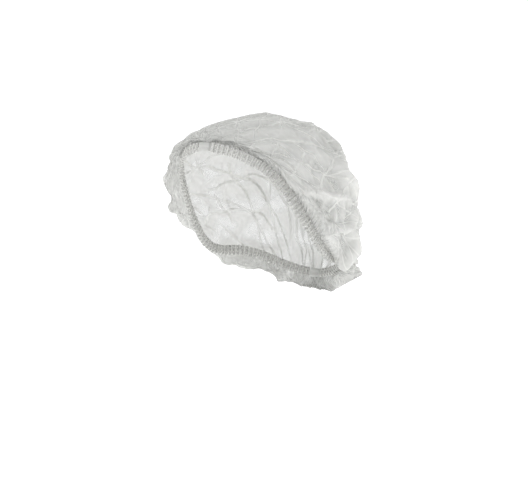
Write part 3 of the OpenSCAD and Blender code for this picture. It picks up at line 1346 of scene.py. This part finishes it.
@dataclass
class StitchRow:
    """One row of chain stitching over an elastic, on one face of a band."""

    band: Band
    row: Row
    face: Face
    tree: StitchTree
    thread: Finish
    pitch: float = 0.0035
    stitch_share: float = 0.86
    thread_width: float = 0.00028
    proud: float = 0.00030
    end_gap: float = 0.006
    samples: int = 500

    def build(self) -> Piece:
        """Build the row and return it."""
        opening, side = self.band.opening, self.band.side
        share = np.linspace(self.end_gap, 1 - self.end_gap, self.samples)
        a = opening.spread(share, self.band.start_angle)
        lie = self.face.value * (self.band.core + self.proud)
        up = np.full_like(a, self.band.row_height(self.row))
        path = opening.point(a, up, np.full_like(a, lie))
        path[:, 0] *= side.value
        length = float(np.linalg.norm(np.diff(path, axis=0), axis=1).sum())
        inputs = {
            "Stitches": int(round(length / self.pitch)),
            "Stitch Length": self.pitch * self.stitch_share,
            "Thread Width": self.thread_width,
            "Thread": self.thread,
        }
        node = f"{side.word}_{self.row.word}_{self.face.word}_thread"
        obj = self.tree.lay(node + "_row", path, inputs)
        hand_over(obj, node)
        return obj


@dataclass
class EndTab:
    """The sheet's pleats pinched together and pressed between the two bands."""

    opening: Opening
    node: str
    angle: float
    finish: Finish
    width: float = 0.0150
    folds: int = 9
    stations_per_fold: int = 8
    rises: int = 15
    half: float = 0.0011
    fold_depth: float = 0.0008
    fold_least: float = 0.7
    fold_extra: float = 0.5
    press_width: float = 0.0013
    press_depth: float = 0.75
    edge_radius: float = 0.0008
    end_radius: float = 0.0006
    back_step: float = 0.0002
    back_uv: float = 0.02
    seed: int = 5

    def _depth(self, across: Array, up: Array) -> Array:
        """Return how far the pleats stand out of the tab's middle.

        Args:
            across: Shares of the width, -0.5 to 0.5.
            up: Heights over the free edge.

        Returns:
            Depths in metres.
        """
        rng = np.random.default_rng(self.seed)
        part = (across + 0.5) * self.folds
        fold = np.sqrt(np.abs(np.sin(part * math.pi)))
        draw = rng.random(self.folds)[np.minimum(part.astype(int), self.folds - 1)]
        tall = (fold * (self.fold_least + self.fold_extra * draw))[:, None]
        press = 1 - self.press_depth * bell(up - up.mean(), self.press_width)
        edge = np.clip(np.minimum(up, up[-1] - up) / self.edge_radius, 0.25, 1) ** 0.5
        depth = (self.half * edge[None, :]) + self.fold_depth * tall * press[None, :] * edge
        end = np.clip((0.5 - np.abs(across)) * self.width / self.end_radius, 0.3, 1) ** 0.5
        return depth * end[:, None]

    def build(self) -> Piece:
        """Build the tab and return it."""
        across = np.linspace(-0.5, 0.5, self.folds * self.stations_per_fold + 1)
        up = self.opening.band_width * np.linspace(0, 1, self.rises)
        depth = self._depth(across, up)
        a = np.full(depth.shape, self.angle)
        rise = up[None, :] + 0 * depth
        step = self.opening.along(a) * (across * self.width)[:, None, None]
        front = self.opening.point(a, rise, depth) + step
        back = self.opening.point(a, rise, -depth + self.back_step) + step
        obj = mesh_object(
            self.node + "_folds", *sweep(np.concatenate([front, back[:, ::-1]], axis=1))
        )
        face_outwards(obj)
        down = np.concatenate([up, self.back_uv + up[::-1]])[None, :]
        add_uv(obj, across[:, None] * self.width, down)
        obj.data.materials.append(self.finish)
        hand_over(obj, self.node)
        return obj


# --- studio


@dataclass
class Studio:
    """Pale paper sweep, soft lights and the camera.

    Lights are a name, an azimuth from the camera's, an elevation, a distance, a size and a
    power. A wall ring is its share of the wall's reach and its height.
    """

    floor_z: float = -0.195
    wall_reach: float = 3.9
    wall_sides: int = 97
    wall_rings: tuple[Pair, ...] = ((1.0, 2.0), (0.7, 3.6), (0.02, 4.2))
    wall_glow: float = 0.9
    paper_half_width: float = 4.0
    paper_bend: float = 1.6
    paper_radius: float = 0.8
    paper_top: float = 3.4
    distance: float = 1.50
    azimuth: float = 38.0
    elevation: float = 4.0
    lens: float = 95.0
    sensor: float = 36.0
    aim_right: float = 0.0022
    aim_up: float = -0.0374
    lights: tuple[tuple[str, Triple, Pair], ...] = (
        ("key_soft", -62.0, 40.0, 1.7, 0.7, 12.0),
        ("fill_soft", 68.0, 8.0, 1.9, 1.2, 15.0),
    )
    top_place: Triple = (0.1, 0.5, 1.9)
    top_size: float = 1.2
    top_power: float = 1.5
    air: tuple[float, float, float, float] = (0.94, 0.95, 0.96, 1)
    air_power: float = 0.46
    layers_seen: int = 32

    def _paper(self) -> None:
        """Build the floor and its curved backdrop."""
        radius = self.paper_radius
        profile = [(-self.wall_reach - 0.3, self.floor_z)]
        profile += [
            (self.paper_bend + radius * math.sin(t), self.floor_z + radius - radius * math.cos(t))
            for t in np.linspace(0, math.pi / 2, 14)
        ]
        profile.append((self.paper_bend + radius, self.paper_top))
        side = self._right()
        back, half = Vector((-side.y, side.x, 0)), self.paper_half_width
        pts = [back * d + side * w + Vector((0, 0, z)) for d, z in profile for w in (-half, half)]
        paper = mesh_object("studio_paper", np.array(pts), grid_quads(len(profile), 2))
        paper.data.materials.append(StudioFinish("studio_paper").build())

    def _wall(self) -> None:
        """Build the round wall and roof that only the camera sees."""
        turn = np.linspace(0, TURN, self.wall_sides)
        ring = np.stack([np.cos(turn), np.sin(turn), 0 * turn], -1) * self.wall_reach
        levels = ((1.0, self.floor_z - 0.05), *self.wall_rings)
        rings = np.stack([ring * share + np.array([0, 0, z]) for share, z in levels])
        wall = mesh_object("studio_wall", *sweep(rings, closed_ends=False))
        wall.data.materials.append(StudioFinish("studio_wall_paper", glow=self.wall_glow).build())
        for ray in ("diffuse", "glossy", "transmission", "shadow"):
            setattr(wall, "visible_" + ray, False)

    def _light(self, name: str, place: Vector, size: float, power: float) -> None:
        """Add one soft square light aimed at the cap.

        Args:
            name: Name of the light.
            place: Where it stands.
            size: Side of the square, in metres.
            power: Its power, in watts.
        """
        data = bpy.data.lights.new(name, "AREA")
        data.shape, data.size, data.energy = "SQUARE", size, power
        lamp = linked(name, data)
        lamp.location = place
        lamp.rotation_euler = (-place).to_track_quat("-Z", "Y").to_euler()

    def _way(self, azimuth: float, elevation: float) -> Vector:
        """Return the direction of a place seen from the object, from angles in degrees."""
        a, e = math.radians(azimuth), math.radians(elevation)
        return Vector((math.sin(a) * math.cos(e), -math.cos(a) * math.cos(e), math.sin(e)))

    def _right(self) -> Vector:
        """Return the direction to the camera's right."""
        a = math.radians(self.azimuth)
        return Vector((math.cos(a), math.sin(a), 0))

    def _camera(self) -> None:
        """Build the camera and make it the scene's."""
        back, right = self._way(self.azimuth, self.elevation), self._right()
        aim = right * self.aim_right + back.cross(right) * self.aim_up
        data = bpy.data.cameras.new("view")
        data.lens, data.sensor_width = self.lens, self.sensor
        camera = linked("view", data)
        camera.location = back * self.distance
        camera.rotation_euler = (aim - camera.location).to_track_quat("-Z", "Y").to_euler()
        bpy.context.scene.camera = camera

    def build(self) -> None:
        """Build the studio."""
        self._paper()
        self._wall()
        for name, turn, elevation, distance, size, power in self.lights:
            self._light(name, self._way(self.azimuth + turn, elevation) * distance, size, power)
        self._light("top_soft", Vector(self.top_place), self.top_size, self.top_power)
        scene = bpy.context.scene
        world = bpy.data.worlds.new("studio_air")
        world.use_nodes = True
        air = world.node_tree.nodes["Background"].inputs
        air[0].default_value, air[1].default_value = self.air, self.air_power
        scene.world = world
        self._camera()
        scene.view_settings.view_transform = "Standard"
        scene.cycles.transparent_max_bounces = self.layers_seen
        log.info("studio ready")


# --- the cap


@dataclass
class MobCap:
    """The whole cap, sub-assembly by sub-assembly."""

    opening: Opening
    wall_half: float = 0.0004
    top_stand: float = 0.0011
    puffs: tuple[Puff, ...] = (
        Puff((0.080, 0.070, 0.038), 0.026, -0.004),
        Puff((0.080, 0.075, -0.050), 0.028, -0.007),
        Puff((0.045, 0.095, -0.085), 0.034, -0.014),
        Puff((-0.090, -0.045, -0.004), 0.024, 0.010),
        Puff((-0.090, -0.055, 0.026), 0.020, 0.004),
    )

    def _crown(self) -> None:
        """Build the pleated sheet over the bag's form."""
        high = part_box("crown")[1]
        form = BagForm(self.opening, high.x - self.wall_half, high.z - self.top_stand)
        gather_pitch = Crown.flat_size[1] / Crown.gathers
        sheet = SpunbondFinish("spunbond_sheet", gather_pitch=gather_pitch)
        Crown(self.opening, form, sheet, self.puffs).build()

    def _sewing(self, bands: Sequence[Band]) -> None:
        """Build the elastics and the rows of stitches that hold them."""
        cord = StrandFinish("elastic_cord_cover", (0.95, 0.94, 0.91), (0.86, 0.84, 0.80), 900.0)
        thread = StrandFinish("white_thread", (0.93, 0.93, 0.92), (0.8, 0.8, 0.79))
        cord_finish, thread_finish, tree = cord.build(), thread.build(), StitchTree()
        for band in bands:
            for row in Row:
                Elastic(band, row, cord_finish).build()
                for face in Face:
                    StitchRow(band, row, face, tree, thread_finish).build()

    def build(self) -> None:
        """Build every piece of the cap."""
        fold = SpunbondFinish(
            "spunbond_fold",
            dark=(0.68, 0.685, 0.665),
            behind=(0.82, 0.82, 0.80),
            cover=0.24,
            crease_cover=0.5,
            net=(),
            pleat_pitch=0.5,
            rib_pitch=Band.flat_size[1] / Band.ribs,
        )
        pressed = SpunbondFinish("spunbond_pressed", cover=0.8, net=(), pleat_pitch=0.0017).build()
        bands = [Band(self.opening, side, fold) for side in Side]
        for band in bands:
            band.build()
        self._crown()
        self._sewing(bands)
        EndTab(self.opening, "brow_tab", 0.0, pressed).build()
        EndTab(self.opening, "nape_tab", math.pi, pressed, seed=6).build()


def main() -> None:
    """Build the cap and its studio in order."""
    logging.basicConfig(level=logging.INFO, format="%(name)s: %(message)s")
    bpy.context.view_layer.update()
    MobCap(Opening.from_frame()).build()
    Studio().build()


if __name__ == "__main__":
    main()
